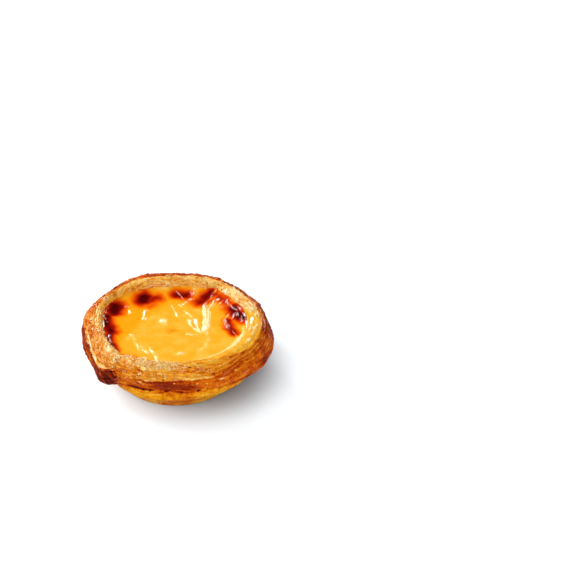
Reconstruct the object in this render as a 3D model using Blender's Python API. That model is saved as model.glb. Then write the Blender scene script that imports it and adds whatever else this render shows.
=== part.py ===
"""Portuguese custard tart: a cup of coiled puff pastry with a thick folded rim, filled with baked custard.

Metres, +Z up. The origin is the centre of the flat foot, +X is the tart's right and -Y its front.
The pastry is one long strip of layers coiled outwards, so its outer wrap ends in a free tail, front left.
"""

import math

import bmesh
import bpy

MM = 0.001  # the dimensions below are in millimetres

# Cup, below the rim
FOOT_RADIUS = 24.3
FOOT_ROUNDING = 3.4
FOOT_ARC_STEPS = 5
WALL_MID_RADIUS = 32.2
WALL_MID_HEIGHT = 8.4

# Inside of the cup, which the custard fills: (how far in from the custard's edge, height), then the floor
INSIDE_WALL = ((0.5, 19.5), (1.3, 14.0), (4.2, 9.0))
INSIDE_FLOOR = ((24.0, 5.6), (20.5, 4.2))

# Rim outline, seen from above: an ellipse about a centre that lies a little behind the foot's
RIM_HALF_LENGTH = 41.9
RIM_HALF_WIDTH = 39.2
RIM_CENTRE = (-0.3, 1.9)
CREST_HEIGHT = 25.6
LIP_HEIGHT = 14.8  # underside of the rim, where it hangs over the cup
LIP_ROUNDING = ((3.0, 0.0), (1.2, 0.1), (0.3, 1.1), (0.0, 2.6))  # (how far in, height above that underside)

# Outer wrap: it stands upright, and leans out over the lip on the right and on the left
WRAP_TOP_HEIGHT = 21.8
WRAP_TOP_INSET = 0.3
WRAP_BULGE = 0.5
WRAP_LEANS = ((350, 62, 2.7), (188, 34, 2.3))

# Free tail, where the outer wrap ends
TAIL_ANGLE = 218.5
TAIL_END_SPAN = 8.0
TAIL_STEP = 3.7  # how far the lip falls back past the tail
TAIL_STEP_SPAN = 62.0
TAIL_DROOP = 5.2
TAIL_DROOP_SPAN = 34.0

# Layer edges above the outer wrap: (how far in from the wrap's top edge, height)
LAYER_EDGES = ((0.0, WRAP_TOP_HEIGHT), (1.0, 23.4), (2.2, 24.6))
LAYER_EDGE_DEPTH = 0.6
LAYER_GROOVE = 0.7

# Crest: (share of the way from the last layer edge to the custard, how far below the crest's height)
CREST_ROUNDING = ((0.25, 0.15), (0.5, 0.0), (0.72, 0.4), (0.9, 1.3))

# Custard, seen from above
CUSTARD_HALF_LENGTH = 30.6
CUSTARD_HALF_WIDTH = 28.4
CUSTARD_CENTRE = (-0.6, 1.2)
CUSTARD_LEVEL = 23.2
CUSTARD_DIP = 0.2  # of its edge, below the line where it meets the rim
CUSTARD_SAG = 0.7  # of its middle
CUSTARD_RINGS = (0.2, 0.4, 0.6, 0.78, 0.92, 1.0)  # shares of the way out
CUSTARD_GAP = 0.3

# Local swellings: (angle, half width in degrees, height)
RIM_SWELLINGS = (
    (38, 40, -1.8),
    (80, 30, -1.3),
    (118, 22, 1.2),
    (150, 26, -0.6),
    (202, 34, -2.2),
    (270, 44, -1.9),
)
WALL_SWELLINGS = ((110, 90, 1.4), (325, 50, 2.3), (238, 40, 0.9))
LIP_DROOPS = ((338, 60, 2.8), (90, 80, -1.0))
CUSTARD_SWELLINGS = ((145, 46, 3.2), (60, 20, 2.0), (228, 22, 1.2))
CREST_SWELLINGS = ((100, 100, 1.3), (45, 40, -0.7), (330, 50, -0.5))

SEGMENTS = 96  # round the tart


def swelling(angle, places):
    """Sum of smooth humps round the tart, each a raised cosine."""
    total = 0.0
    for centre, half_width, height in places:
        away = abs((angle - centre + 180.0) % 360.0 - 180.0)
        if away < half_width:
            total += height * 0.5 * (1.0 + math.cos(math.pi * away / half_width))
    return total


def ellipse_radius(angle, half_length, half_width, centre):
    """Distance from the origin to an off-centre ellipse, in one direction."""
    dx, dy = math.cos(math.radians(angle)), math.sin(math.radians(angle))
    a = (dx / half_length) ** 2 + (dy / half_width) ** 2
    b = dx * centre[0] / half_length**2 + dy * centre[1] / half_width**2
    c = (centre[0] / half_length) ** 2 + (centre[1] / half_width) ** 2 - 1.0
    return (b + math.sqrt(b * b - a * c)) / a


def past_tail(angle):
    """Degrees anticlockwise from the tail's end: 0 just past it, nearly 360 just before it."""
    return (angle - TAIL_ANGLE) % 360.0


def tail_share(angle, span):
    """1 at the end of the tail, fading to 0 back along it over a span of degrees."""
    before = 360.0 - past_tail(angle)
    if past_tail(angle) < TAIL_END_SPAN:
        return 1.0 - past_tail(angle) / TAIL_END_SPAN
    return max(0.0, 1.0 - before / span) ** 1.4


def ripple(angle):
    """Small unevenness that every baked rim has."""
    a = math.radians(angle)
    return 0.25 * math.cos(5 * a + 0.8) + 0.2 * math.cos(8 * a + 2.1) + 0.15 * math.cos(13 * a)


def rim_radius(angle):
    """Outermost radius of the rim, as if the outer wrap had no end."""
    radius = ellipse_radius(angle, RIM_HALF_LENGTH, RIM_HALF_WIDTH, RIM_CENTRE)
    return radius + swelling(angle, RIM_SWELLINGS) + ripple(angle)


def fall_back(angle):
    """How far the lip lies behind the rim's outline, in the wake of the tail."""
    past = past_tail(angle)
    if past < TAIL_END_SPAN:
        return TAIL_STEP * past / TAIL_END_SPAN
    return TAIL_STEP * max(0.0, 1.0 - (past - TAIL_END_SPAN) / TAIL_STEP_SPAN) ** 1.6


def custard_radius(angle):
    """Radius where the custard meets the rim."""
    radius = ellipse_radius(angle, CUSTARD_HALF_LENGTH, CUSTARD_HALF_WIDTH, CUSTARD_CENTRE)
    return radius + swelling(angle, CUSTARD_SWELLINGS)


def crest_height(angle):
    return CREST_HEIGHT + swelling(angle, CREST_SWELLINGS) + 0.5 * ripple(angle + 40.0)


def foot_profile():
    """Rounded edge between the flat foot and the cup's wall, as most of a quarter arc."""
    points = []
    for step in range(FOOT_ARC_STEPS):
        turn = math.radians(90.0 * step / FOOT_ARC_STEPS)
        out = FOOT_RADIUS + FOOT_ROUNDING * math.sin(turn)
        points.append((out, FOOT_ROUNDING * (1.0 - math.cos(turn))))
    return points


def rim_profile(angle):
    """(radius, height) from the lip's underside, over the layer edges and the crest, down to the custard."""
    outline, inner, crest = rim_radius(angle), custard_radius(angle), crest_height(angle)
    lip = outline - fall_back(angle)
    low = LIP_HEIGHT - TAIL_DROOP * tail_share(angle, TAIL_DROOP_SPAN) - swelling(angle, LIP_DROOPS)
    points = [(lip - inset, low + rise) for inset, rise in LIP_ROUNDING]
    wrap_top = outline - WRAP_TOP_INSET - swelling(angle, WRAP_LEANS)
    points.append(((lip + wrap_top) / 2 + WRAP_BULGE, (low + WRAP_TOP_HEIGHT) / 2 + LIP_ROUNDING[1][1]))
    for inset, height in LAYER_EDGES:
        height += (crest - CREST_HEIGHT) * (height - LIP_HEIGHT) / (CREST_HEIGHT - LIP_HEIGHT)
        points.append((wrap_top - inset + 0.1, height - LAYER_EDGE_DEPTH))
        points.append((wrap_top - inset, height))
        points.append((wrap_top - inset - LAYER_GROOVE, height + 0.05))
    last = points[-1][0]
    for share, below in CREST_ROUNDING:
        points.append((last + share * (inner - last), crest - below))
    points.append((inner, CUSTARD_LEVEL))
    return points


def inside_profile(angle, gap=0.0):
    """(radius, height) down the inside of the cup, from the custard's edge to the floor."""
    wall = [(custard_radius(angle) - inset - gap, height) for inset, height in INSIDE_WALL]
    return wall + [(radius - gap, height + gap) for radius, height in INSIDE_FLOOR]


def shell_profile(angle):
    """(radius, height) all the way from the foot, over the rim and down to the cup's floor."""
    wall = [(WALL_MID_RADIUS + swelling(angle, WALL_SWELLINGS), WALL_MID_HEIGHT)]
    return foot_profile() + wall + rim_profile(angle) + inside_profile(angle)


def custard_height(angle, share):
    """Height of the baked surface, share of the way out from the middle: it sags, with slow swells."""
    a = math.radians(angle)
    sag = CUSTARD_SAG * (1.0 - share**4)
    swell = 0.35 * share * math.cos(2 * a + 0.6) + 0.3 * share**2 * math.cos(3 * a - 1.0)
    return CUSTARD_LEVEL - CUSTARD_DIP - sag + swell * (1.0 - share**6)


def custard_profile(angle):
    """(radius, height) from near the middle of the surface, over its edge and down to the floor."""
    edge = custard_radius(angle) - CUSTARD_GAP
    top = [(share * edge, custard_height(angle, share)) for share in CUSTARD_RINGS]
    return top + inside_profile(angle, CUSTARD_GAP)


def material(name, colour, roughness):
    made = bpy.data.materials.new(name)
    made.use_nodes = True
    shader = made.node_tree.nodes["Principled BSDF"]
    shader.inputs["Base Color"].default_value = (*colour, 1.0)
    shader.inputs["Roughness"].default_value = roughness
    shader.inputs["Metallic"].default_value = 0.0
    return made


def ring_of(shape, columns, row):
    """One closed loop round the tart, at one row of the profile. Returns its points and its edges."""
    points = []
    for step, column in enumerate(columns):
        turn = math.tau * step / SEGMENTS
        radius, height = column[row]
        place = (radius * math.cos(turn), radius * math.sin(turn), height)
        points.append(shape.verts.new([value * MM for value in place]))
    edges = [shape.edges.new((point, points[step - 1])) for step, point in enumerate(points)]
    return points, edges


def turned_body(name, profile, finish):
    """A closed solid, turned about +Z from a profile that changes with the angle."""
    columns = [profile(360.0 * step / SEGMENTS) for step in range(SEGMENTS)]
    shape = bmesh.new()
    rings = [ring_of(shape, columns, row) for row in range(len(columns[0]))]
    for (_, below), (_, above) in zip(rings, rings[1:]):
        bmesh.ops.bridge_loops(shape, edges=below + above)
    for points, _ in (rings[0], rings[-1]):
        shape.faces.new(points)
    bmesh.ops.recalc_face_normals(shape, faces=shape.faces)
    mesh = bpy.data.meshes.new(name)
    shape.to_mesh(mesh)
    shape.free()
    mesh.materials.append(finish)
    mesh.shade_smooth()
    mesh.set_sharp_from_angle(angle=math.radians(40.0))
    body = bpy.data.objects.new(name, mesh)
    bpy.context.scene.collection.objects.link(body)
    return body


def main():
    for old in list(bpy.data.objects):
        bpy.data.objects.remove(old)
    pastry = material("pastry", (0.58, 0.24, 0.06), 0.55)
    custard = material("custard", (0.93, 0.5, 0.06), 0.2)
    turned_body("pastry_shell", shell_profile, pastry)
    turned_body("custard_filling", custard_profile, custard)


main()
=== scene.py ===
import math

import bpy
import numpy as np
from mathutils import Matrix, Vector, noise
from mathutils.bvhtree import BVHTree


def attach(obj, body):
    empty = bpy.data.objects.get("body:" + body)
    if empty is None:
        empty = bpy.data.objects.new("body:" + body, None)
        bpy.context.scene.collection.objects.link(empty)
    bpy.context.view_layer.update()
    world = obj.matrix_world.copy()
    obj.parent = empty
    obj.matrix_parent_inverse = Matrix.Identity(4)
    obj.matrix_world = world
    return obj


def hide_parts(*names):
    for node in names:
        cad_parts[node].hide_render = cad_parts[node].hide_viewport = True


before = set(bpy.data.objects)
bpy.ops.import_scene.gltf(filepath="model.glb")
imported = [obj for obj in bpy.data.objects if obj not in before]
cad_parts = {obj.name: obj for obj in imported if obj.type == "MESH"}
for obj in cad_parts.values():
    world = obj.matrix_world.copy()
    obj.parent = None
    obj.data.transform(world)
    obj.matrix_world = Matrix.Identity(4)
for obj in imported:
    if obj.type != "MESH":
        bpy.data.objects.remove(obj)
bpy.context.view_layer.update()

# A baked custard tart on a white table. The pastry and the custard are measured off the solids, so each piece
# sits where they are. Shapes are sculpted in millimetres and set to metres at the end.
mm = 0.001


def deselectAll():
    if bpy.context.mode != "OBJECT":
        bpy.ops.object.mode_set(mode="OBJECT")
    bpy.ops.object.select_all(action="DESELECT")


def justAdded(name):
    piece = bpy.context.view_layer.objects.active
    piece.name = name
    piece.data.name = name
    return piece


def pointsOf(piece):
    flat = np.empty(len(piece.data.vertices) * 3)
    piece.data.vertices.foreach_get("co", flat)
    return flat.reshape(-1, 3) / mm


def putPoints(piece, points):
    piece.data.vertices.foreach_set("co", np.ascontiguousarray(points * mm, float).ravel())
    piece.data.update()


def paint(piece, name, values):
    layer = piece.data.attributes.new(name, "FLOAT", "POINT")
    layer.data.foreach_set("value", np.ascontiguousarray(values, np.float32).ravel())


def paintPlace(piece, name, places):
    layer = piece.data.attributes.new(name, "FLOAT_VECTOR", "POINT")
    layer.data.foreach_set("vector", np.ascontiguousarray(places, np.float32).ravel())


def cloud(places, size, seed=0):
    # Soft noise, about -1 to 1, with lumps of this size in mm
    shift = Vector((7.3, 3.1, 5.7)) * seed
    found = [noise.noise(Vector(place) / size + shift) for place in places.reshape(-1, 3)]
    return np.array(found).reshape(places.shape[:-1])


def bubbles(places, size, seed=0):
    # Near 1 on top of each small blister, and 0 in the creases between them
    shift = Vector((2.9, 8.3, 4.1)) * seed
    found = [noise.voronoi(Vector(place) / size + shift)[0][0] for place in places.reshape(-1, 3)]
    return 1.0 - np.clip(np.array(found).reshape(places.shape[:-1]), 0.0, 1.0)


def ease(low, high, values):
    share = np.clip((values - low) / (high - low), 0.0, 1.0)
    return share * share * (3.0 - 2.0 * share)


def roundTheTart(angles, stops):
    # A value at each angle, from a few {degrees: value} stops
    keys = sorted(stops)
    return np.interp(np.degrees(angles) % 360.0, keys, [stops[key] for key in keys], period=360.0)


def near(angles, middle, spread):
    # 1 at the middle angle in degrees, fading out over the spread
    away = np.abs((np.degrees(angles) - middle + 180.0) % 360.0 - 180.0)
    return 0.5 + 0.5 * np.cos(np.pi * np.clip(away / spread, 0.0, 1.0))


def softened(values, spread, axis):
    # Gaussian blur along one axis, its spread counted in steps. The first axis runs right round the tart
    reach = int(3 * spread) + 1
    offsets = np.arange(-reach, reach + 1)
    weights = np.exp(-0.5 * (offsets / spread) ** 2)
    total = np.zeros_like(values)
    for weight, offset in zip(weights / weights.sum(), offsets):
        if axis == 0:
            total += weight * np.roll(values, offset, axis=0)
        else:
            steps = np.clip(np.arange(values.shape[1]) - offset, 0, values.shape[1] - 1)
            total += weight * values[:, steps]
    return total


def ringPlaces(angles, radius, height):
    radius, height = radius * np.ones_like(angles), height * np.ones_like(angles)
    return np.stack([radius * np.cos(angles), radius * np.sin(angles), height], axis=-1)


# Measuring the solids

def treeOf(node):
    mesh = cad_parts[node].data
    return BVHTree.FromPolygons([v.co / mm for v in mesh.vertices], [f.vertices[:] for f in mesh.polygons])


shellTree = treeOf("pastry_shell")
fillingTree = treeOf("custard_filling")
measure = {
    "columns": 240,
    "outside": 80.0,
    "coreHeight": 19.0,                # middle of the rim's section
    "edgeHeight": 22.7,                # where the custard meets the rim
    "wallHeight": 8.4,
    "lipHeights": (12.0, 21.6, 0.8),   # from, to, and step
}


def outward(angle):
    return Vector((math.cos(angle), math.sin(angle), 0.0))


def levelReach(tree, angle, height):
    # Radius at which a level line from outside meets the solid
    start = outward(angle) * measure["outside"] + Vector((0, 0, height))
    hit = tree.ray_cast(start, -outward(angle))[0]
    return math.hypot(hit.x, hit.y) if hit else 0.0


def lipUnderside(angle, lip, wall):
    heights = []
    for radius in np.linspace(max(lip - 5.0, wall + 0.7), lip - 1.0, 9):
        hit = shellTree.ray_cast(outward(angle) * radius + Vector((0, 0, 0.5)), Vector((0, 0, 1)))[0]
        if hit and hit.z > 9.4:
            heights.append(hit.z)
    return min(heights)


columnAngles = np.arange(measure["columns"]) * math.tau / measure["columns"]
lipHeights = np.arange(*measure["lipHeights"])
lipReach = np.array([max(levelReach(shellTree, a, h) for h in lipHeights) for a in columnAngles])
edgeReach = np.array([levelReach(fillingTree, a, measure["edgeHeight"]) for a in columnAngles])
wallReach = np.array([levelReach(shellTree, a, measure["wallHeight"]) for a in columnAngles])
lipLow = np.array([lipUnderside(*column) for column in zip(columnAngles, lipReach, wallReach)])
print("measured", measure["columns"], "columns of the pastry")


def atAngles(angles, columnValues):
    # Column measures carried over to other angles, one row of them for each angle
    degrees = np.degrees(angles) % 360.0
    keys = np.degrees(columnAngles)
    if columnValues.ndim == 1:
        return np.interp(degrees, keys, columnValues, period=360.0)
    return np.stack([np.interp(degrees, keys, row, period=360.0) for row in columnValues.T], axis=-1)


# Pastry rim: a strip of many thin leaves, coiled outwards to a free tail at the front left

rim = {
    "around": 560,
    "across": 172,
    "cuts": 3,                # both counts are whole multiples of this and one
    "hidden": 12,             # of those across, the ones buried in the cup and the custard
    "sweep": (-76.0, 184.0),  # the shown part of the cross section, from under the lip to inside the custard
    "meanRadius": 38.0,
    "tail": 222.0,            # where the outer wrap ends
    "turnAtLedge": 0.85,
    "pitch": 1.75,            # mm between one wrap's edge and the next
    "ledgeHeight": 21.8,
    "drops": {                # mm that each wrap's edge stands over the next, at angles round the tart
        0: {0: 0.7, 45: 0.8, 90: 0.8, 150: 0.9, 200: 1.0, 221: 1.1, 223: 0.8, 250: 0.9, 270: 0.8, 320: 0.6},
        1: {0: 0.4, 90: 0.5, 150: 0.6, 200: 0.8, 221: 0.8, 223: 0.5, 245: 0.5, 270: 0.45, 320: 0.35},
        2: {0: 0.35, 40: 0.5, 90: 0.35, 150: 0.45, 221: 0.5, 223: 0.35, 245: 0.3, 270: 0.3, 320: 0.3},
        3: {0: 0.3, 40: 0.5, 90: 0.25, 150: 0.25, 221: 0.35, 223: 0.25, 270: 0.15, 320: 0.25},
        4: {0: 0.25, 40: 0.4, 90: 0.15, 150: 0.2, 221: 0.25, 223: 0.2, 270: 0.1, 320: 0.2},
    },
    "leaves": ((1.25, 0.34), (0.55, 0.12)),  # (mm apart, mm deep) of the leaves that show within a wrap
    "blister": 0.2,           # mm of relief, as are the flaky, the hollow, the torn and the lumpy ones
    "flaky": 0.13,
    "bandHollow": 0.55,
    "torn": 0.8,
    "creaseShadeBake": 0.55,
    "tailFrom": 216.0,
    "tailEnd": 231.0,
    "lumpy": 0.75,
    "tailPull": 5.4,          # mm that the tail closes in on the rim, and rises, towards its end
    "tailLift": 1.0,
    "tailLump": 0.4,
    "ledgeShift": {180: 0.0, 200: -1.2, 222: -1.6, 235: 0.0, 255: -1.1, 285: -1.1, 305: 0.0},
    "ridge": {185: 0.0, 203: 0.35, 222: 0.5, 230: 0.0},  # of the outer wrap's edge, and the groove behind it
    "crestFrom": {270: -3.2, 235: -2.6, 205: -0.6, 180: -0.2, 150: 0.2, 120: 0.0, 90: -0.2, 75: -0.3,
                  58: -1.0, 30: -2.4, 5: -2.8, 345: -2.4, 330: -2.2, 300: -2.8},
    "crumbly": {284: 0.0, 274: 0.9, 250: 1.0, 228: 1.0, 212: 0.5, 190: 0.25, 150: 0.1, 90: 0.12, 30: 0.12,
                0: 0.0},
    "innerCut": {192: 0.0, 205: 0.9, 225: 0.9, 238: 0.4, 250: 0.0},  # mm it stands back from the custard
    "pits": ((304, 1.8), (307, 2.2)),  # burnt dots: angle, mm up the lip
    # Glazed chips, raised a little and painted near white as highlights for glints: angle, height, half
    # length in mm
    "raisedChipsAndPaintedGlints": ((303, 19, 1.3), (249, 19, 0.9), (280, 18.2, 0.4), (287, 18.7, 0.5), (293, 18.2, 0.35),
               (314, 20, 0.5), (272, 19.2, 0.35), (243, 20, 0.5), (238, 19, 0.45)),
    "custardOver": {24: 0.0, 16: 3.0, 5: 7.4, 345: 8.2, 330: 7.8, 315: 6.4, 300: 4.6, 285: 3.0, 272: 0.8,
                    260: 0.0},         # mm of the rim that set custard covers
    # Pale chips on top, those on the right-back painted as highlights for glints: angle, radius, half length
    # and half width in mm
    "paleChipsAndPaintedGlints": ((352, 33.9, 1.4, 1.0), (346, 33.6, 1.2, 0.8), (338, 33.4, 1.7, 0.9), (357, 35.2, 0.9, 0.6),
                  (39, 33.8, 1.8, 0.5), (46, 34.4, 1.2, 0.5), (31, 34.2, 1.2, 0.45), (24, 33.9, 1.5, 0.5),
                  (16, 33.4, 2.2, 0.6), (8, 33.9, 1.2, 0.5), (60, 34.0, 1.0, 0.4)),
    "leafDepth": {165: 1.0, 185: 1.7, 212: 1.5, 219: 0.5, 229: 0.5, 232: 1.0, 290: 0.9, 310: 0.6, 0: 0.7,
                  20: 1.5, 40: 2.1, 60: 1.8, 90: 1.2, 130: 1.2},
    # Painted highlight: a pale streak along the outer wrap's glazed edge, painted in place of its glint, and
    # the dark red line below it
    "paleEdge": {178: 0.0, 188: 1.0, 224: 1.0, 229: 0.0, 252: 0.0, 260: 0.3, 288: 0.3, 298: 0.0},
    "redBelow": {187: 0.0, 193: 1.0, 210: 1.0, 217: 0.3, 225: 0.0},
    # How brown each zone is and how yolky, at angles round the tart
    "bake": {
        "band": {231: .5, 242: .5, 250: .6, 258: .74, 276: .74, 284: .66, 295: .6, 330: .62, 0: .7, 30: .8,
                 60: .84, 100: .86, 150: .88, 175: .86, 190: .76, 205: .72, 216: .82, 222: .86, 227: .74,
                 230: .6},
        "steps": {270: .36, 255: .32, 240: .28, 300: .46, 330: .56, 0: .64, 20: .7, 60: .76, 90: .74, 120: .7,
                  150: .58, 180: .42, 200: .36, 215: .38, 229: .32},
        "crest": {285: .34, 274: .28, 250: .21, 230: .2, 200: .24, 180: .26, 150: .28, 120: .24, 90: .24,
                  60: .16, 40: .1, 15: .14, 0: .3, 340: .42, 320: .44, 300: .38},
        "inner": {274: .26, 300: .28, 330: .28, 0: .24, 20: .18, 60: .24, 90: .32, 135: .34, 180: .34,
                  225: .28},
    },
    "egg": {
        "band": {0: 0.4, 40: 0.0, 180: 0.0, 285: 0.2, 320: 0.4},
        "steps": {0: .3, 60: 0, 180: .1, 240: .3, 270: .7, 320: .5},
        "crest": {285: 1, 272: .7, 255: .3, 300: .9, 330: .8, 0: .6, 15: .3, 40: .2, 60: .3, 90: .4, 120: .4,
                  150: .4, 180: .3, 225: .15},
        "inner": {274: .9, 300: 1, 330: 1, 0: .9, 20: .3, 60: .2, 90: .4, 135: .4, 180: .3, 225: .2},
    },
}


def rimProfiles():
    # Cross section at each column, as (radius, height) on rays that fan out from the middle of the rim
    sweep = np.radians(np.arange(rim["sweep"][0], rim["sweep"][1] + 0.1, 1.5))
    core = 0.5 * (edgeReach + lipReach) + 0.3
    reach = np.empty((measure["columns"], len(sweep)))
    for column, angle in enumerate(columnAngles):
        start = outward(angle) * core[column] + Vector((0, 0, measure["coreHeight"]))
        for step, lean in enumerate(sweep):
            ray = outward(angle) * math.cos(lean) + Vector((0, 0, math.sin(lean)))
            reach[column, step] = (shellTree.ray_cast(start, ray)[0] - start).length
    # Under the lip the section runs level, so that it ends inside the cup's wall
    floorReach = (measure["coreHeight"] - lipLow)[:, None] / np.maximum(-np.sin(sweep), 1e-3)
    reach = np.where(np.sin(sweep) < -0.05, np.minimum(reach, floorReach), reach)
    radius = core[:, None] + reach * np.cos(sweep)
    height = measure["coreHeight"] + reach * np.sin(sweep)
    # The free tail ends square: its outer side is carried on to its end, pulled in a little on the way
    last, end = (round(rim[name] / 360.0 * measure["columns"]) for name in ("tailFrom", "tailEnd"))
    share = np.linspace(0.0, 1.0, end - last)[:, None]
    outer = ease(0.8, 0.45, sweep)
    radius[last:end] += outer * (radius[last] - rim["tailPull"] * share**2 - radius[last:end])
    height[last:end] += outer * (height[last] + rim["tailLift"] * share - height[last:end])
    radius, height = (softened(softened(part, 1.1, 1), 0.7, 0) for part in (radius, height))
    return radius, height


def evenly(radius, height, count):
    # The same section with its points evenly spaced along it, and their places along it
    steps = np.hypot(np.diff(radius), np.diff(height))
    along = np.concatenate([[0.0], np.cumsum(steps)])
    wanted = np.linspace(0.0, along[-1], count)
    return np.interp(wanted, along, radius), np.interp(wanted, along, height), wanted


def makeRim():
    shown = rim["across"] - rim["hidden"]
    sections = [evenly(r, h, shown) for r, h in zip(*rimProfiles())]
    sectionRadius, sectionHeight, sectionAlong = (np.array(part) for part in zip(*sections))

    # Landmarks along each section: the outer wrap's top edge, the crest, and where the custard begins
    columns = np.arange(measure["columns"])
    top = np.argmax(sectionHeight, axis=1)
    ledgeStep = np.argmax(sectionHeight > rim["ledgeHeight"], axis=1)
    pastCrest = np.arange(shown) > top[:, None]
    endStep = np.argmax(pastCrest & (sectionHeight < measure["edgeHeight"] + 0.5), axis=1)
    marks = [sectionAlong[columns, step][:, None] for step in (ledgeStep, top, endStep)]
    marks = [softened(mark, 3.0, 0)[:, 0] for mark in marks]

    angles = np.arange(rim["around"]) * math.tau / rim["around"]
    radius, height, along = (atAngles(angles, part) for part in (sectionRadius, sectionHeight, sectionAlong))
    ledgeAt, crestAt, endAt = (atAngles(angles, mark)[:, None] for mark in marks)
    around = np.repeat(angles[:, None], shown, axis=1)
    base = ringPlaces(around, radius, height)
    streak = ringPlaces(around, rim["meanRadius"] * 0.16, along)  # drawn out along the wraps

    # The spiral of wraps, counted from the outer one's top edge
    turn = ((math.radians(rim["tail"]) - around) % math.tau) / math.tau
    wander = 0.16 * cloud(streak, 2.4, 1) + 0.3 * cloud(base, 9.0, 2) + 0.1 * cloud(base, 2.0, 3)
    ledgeAt = ledgeAt + roundTheTart(angles, rim["ledgeShift"])[:, None]
    wraps = (along - ledgeAt) / rim["pitch"] - turn + rim["turnAtLedge"] + wander
    layer = np.floor(wraps)
    share = wraps - layer

    # Every wrap swells towards its own edge and drops to the next one
    drop = np.zeros_like(wraps)
    for edge, stops in rim["drops"].items():
        drop += (layer == edge - 1) * roundTheTart(around, stops)
    patchy = np.clip(0.85 + 0.75 * cloud(base, 5.0, 4), 0.25, 1.5)
    relief = drop * patchy * (share**1.6 - 0.35)

    # Thin leaves inside a wrap, broken off here and there, each with its own colour
    leafEdge = np.zeros_like(wraps)
    leafTint = np.zeros_like(wraps)
    leafDepth = roundTheTart(around, rim["leafDepth"]) * np.clip(0.75 + 1.3 * cloud(base, 4.0, 28), 0.15, 1.6)
    for number, (pitch, depth) in enumerate(rim["leaves"]):
        seed = 50 + 10 * number
        leaves = along / pitch - 2.0 * turn
        leaves += 1.1 * cloud(streak, 1.6, seed) + 0.9 * cloud(base, 5.0, seed + 1)
        leaf = np.floor(leaves)
        rise = leaves - leaf
        whole = ease(-0.15, 0.1, cloud(base, 3.2, seed + 2) + 0.35 * cloud(base, 0.9, seed + 3))
        relief += depth * leafDepth * (0.25 + 0.75 * whole) * (rise**1.5 - 0.4)
        tinted = cloud(ringPlaces(around, 3.2, leaf * 2.37), 1.0, seed + 4)
        leafTint += depth / rim["leaves"][0][1] * tinted
        leafEdge += depth / rim["leaves"][0][1] * (rise**3 - 0.25) * (0.4 + 0.6 * whole)

    band = 1.0 - ease(-0.1, 0.0, wraps)
    inner = ease(0.2, 1.0, (along - crestAt) / (endAt - crestAt))
    crestFrom = roundTheTart(around, rim["crestFrom"]) + 0.5 * cloud(base, 3.0, 16)
    crest = (1.0 - band) * (1.0 - inner) * ease(-0.7, 0.7, along - crestAt - crestFrom)
    steps = (1.0 - band) * (1.0 - inner) - crest
    zones = {"band": band, "steps": steps, "crest": crest, "inner": inner}

    # Lumps everywhere, fine blisters on the dry crest, a hollow along the front band, torn bits by the tail
    relief += 0.34 * cloud(base, 7.0, 8) + 0.13 * cloud(base, 2.6, 9) + 0.05 * cloud(base, 1.0, 10)
    grainy = roundTheTart(around, rim["crumbly"]) * np.clip(crest + inner + 0.2 * steps, 0.0, 1.0)
    blistered = grainy * ease(-0.5, 0.1, cloud(base, 3.0, 17))
    blister = 0.5 * bubbles(base, 1.3, 1) + 0.5 * bubbles(base, 0.8, 6)
    relief += rim["blister"] * blistered * (blister - 0.35)
    hollow = np.clip((ledgeAt - along) / ledgeAt, 0.0, 1.0)
    relief -= rim["bandHollow"] * near(around, 275.0, 62.0) * band * np.sin(np.pi * hollow)
    torn = near(around, 243.0, 22.0) * (1.0 - inner) * ease(-6.0, -3.0, along - crestAt)
    relief += rim["torn"] * torn * np.clip(cloud(base, 2.1, 11), -0.3, 1.0)
    lumpy = near(around, 241.0, 20.0) * (1.0 - inner) * ease(-7.5, -5.5, along - crestAt)
    lump = ease(0.25, 0.9, bubbles(base, 2.7, 5))
    relief += rim["lumpy"] * lumpy * (lump - 0.3)
    ridge = roundTheTart(around, rim["ridge"])
    ridgeAndPaintedGlint = np.exp(-((along - ledgeAt + 0.5) / 0.9) ** 2)
    relief += ridge * ridgeAndPaintedGlint
    # Painted highlight: the pale line along the outer wrap's edge, painted near white in the bake below
    ridgeAndPaintedGlint = np.exp(-((along - ledgeAt + 0.35) / 0.7) ** 2) * roundTheTart(around, rim["paleEdge"])
    ridgeAndPaintedGlint *= ease(-0.45, 0.0, cloud(streak, 0.8, 22))
    redBelow = np.exp(-((along - ledgeAt + 1.9) / 0.8) ** 2) * roundTheTart(around, rim["redBelow"])
    relief -= 1.5 * ridge * np.exp(-((along - ledgeAt - 0.9) / 0.7) ** 2)
    beforeTail = (rim["tailEnd"] - np.degrees(around)) % 360.0
    charred = band * ease(26.0, 8.0, beforeTail)
    hanging = cloud(ringPlaces(around + 0.012 * along, rim["meanRadius"], 0.14 * along), 0.8, 23)
    tailEnd = rim["tailLump"] * ease(0.0, 1.6, beforeTail)
    relief += charred * (0.1 * cloud(base, 1.5, 12) + 0.35 * hanging + tailEnd)

    flaky = cloud(streak * np.array([1.0, 1.0, 1.4]), 0.5, 18) + 0.6 * cloud(base, 0.7, 19)
    relief += rim["flaky"] * flaky * (1.0 - 0.8 * ridgeAndPaintedGlint)

    # On the right the custard ran over the inside of the rim and set there, smooth, with pale chips on it.
    # The chips on the right-back are painted highlights.
    over = roundTheTart(around, rim["custardOver"])
    over = ease(0.8, -0.8, endAt - along - over + 0.7 * cloud(base, 3.0, 24)) * np.clip(over, 0.0, 1.0)
    relief *= 1.0 - 0.82 * over
    paleChipAndPaintedGlint, raisedChipAndPaintedGlint = np.zeros_like(relief), np.zeros_like(relief)
    for angle, reach, long, wide in rim["paleChipsAndPaintedGlints"]:
        aside = (np.degrees(around) - angle) * math.radians(reach)
        away = np.hypot(aside / long, (radius - reach) / wide) + 0.6 * cloud(base, 0.9, 27)
        paleChipAndPaintedGlint = np.maximum(paleChipAndPaintedGlint, ease(1.2, 0.5, away) * (height > 22.0))
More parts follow.
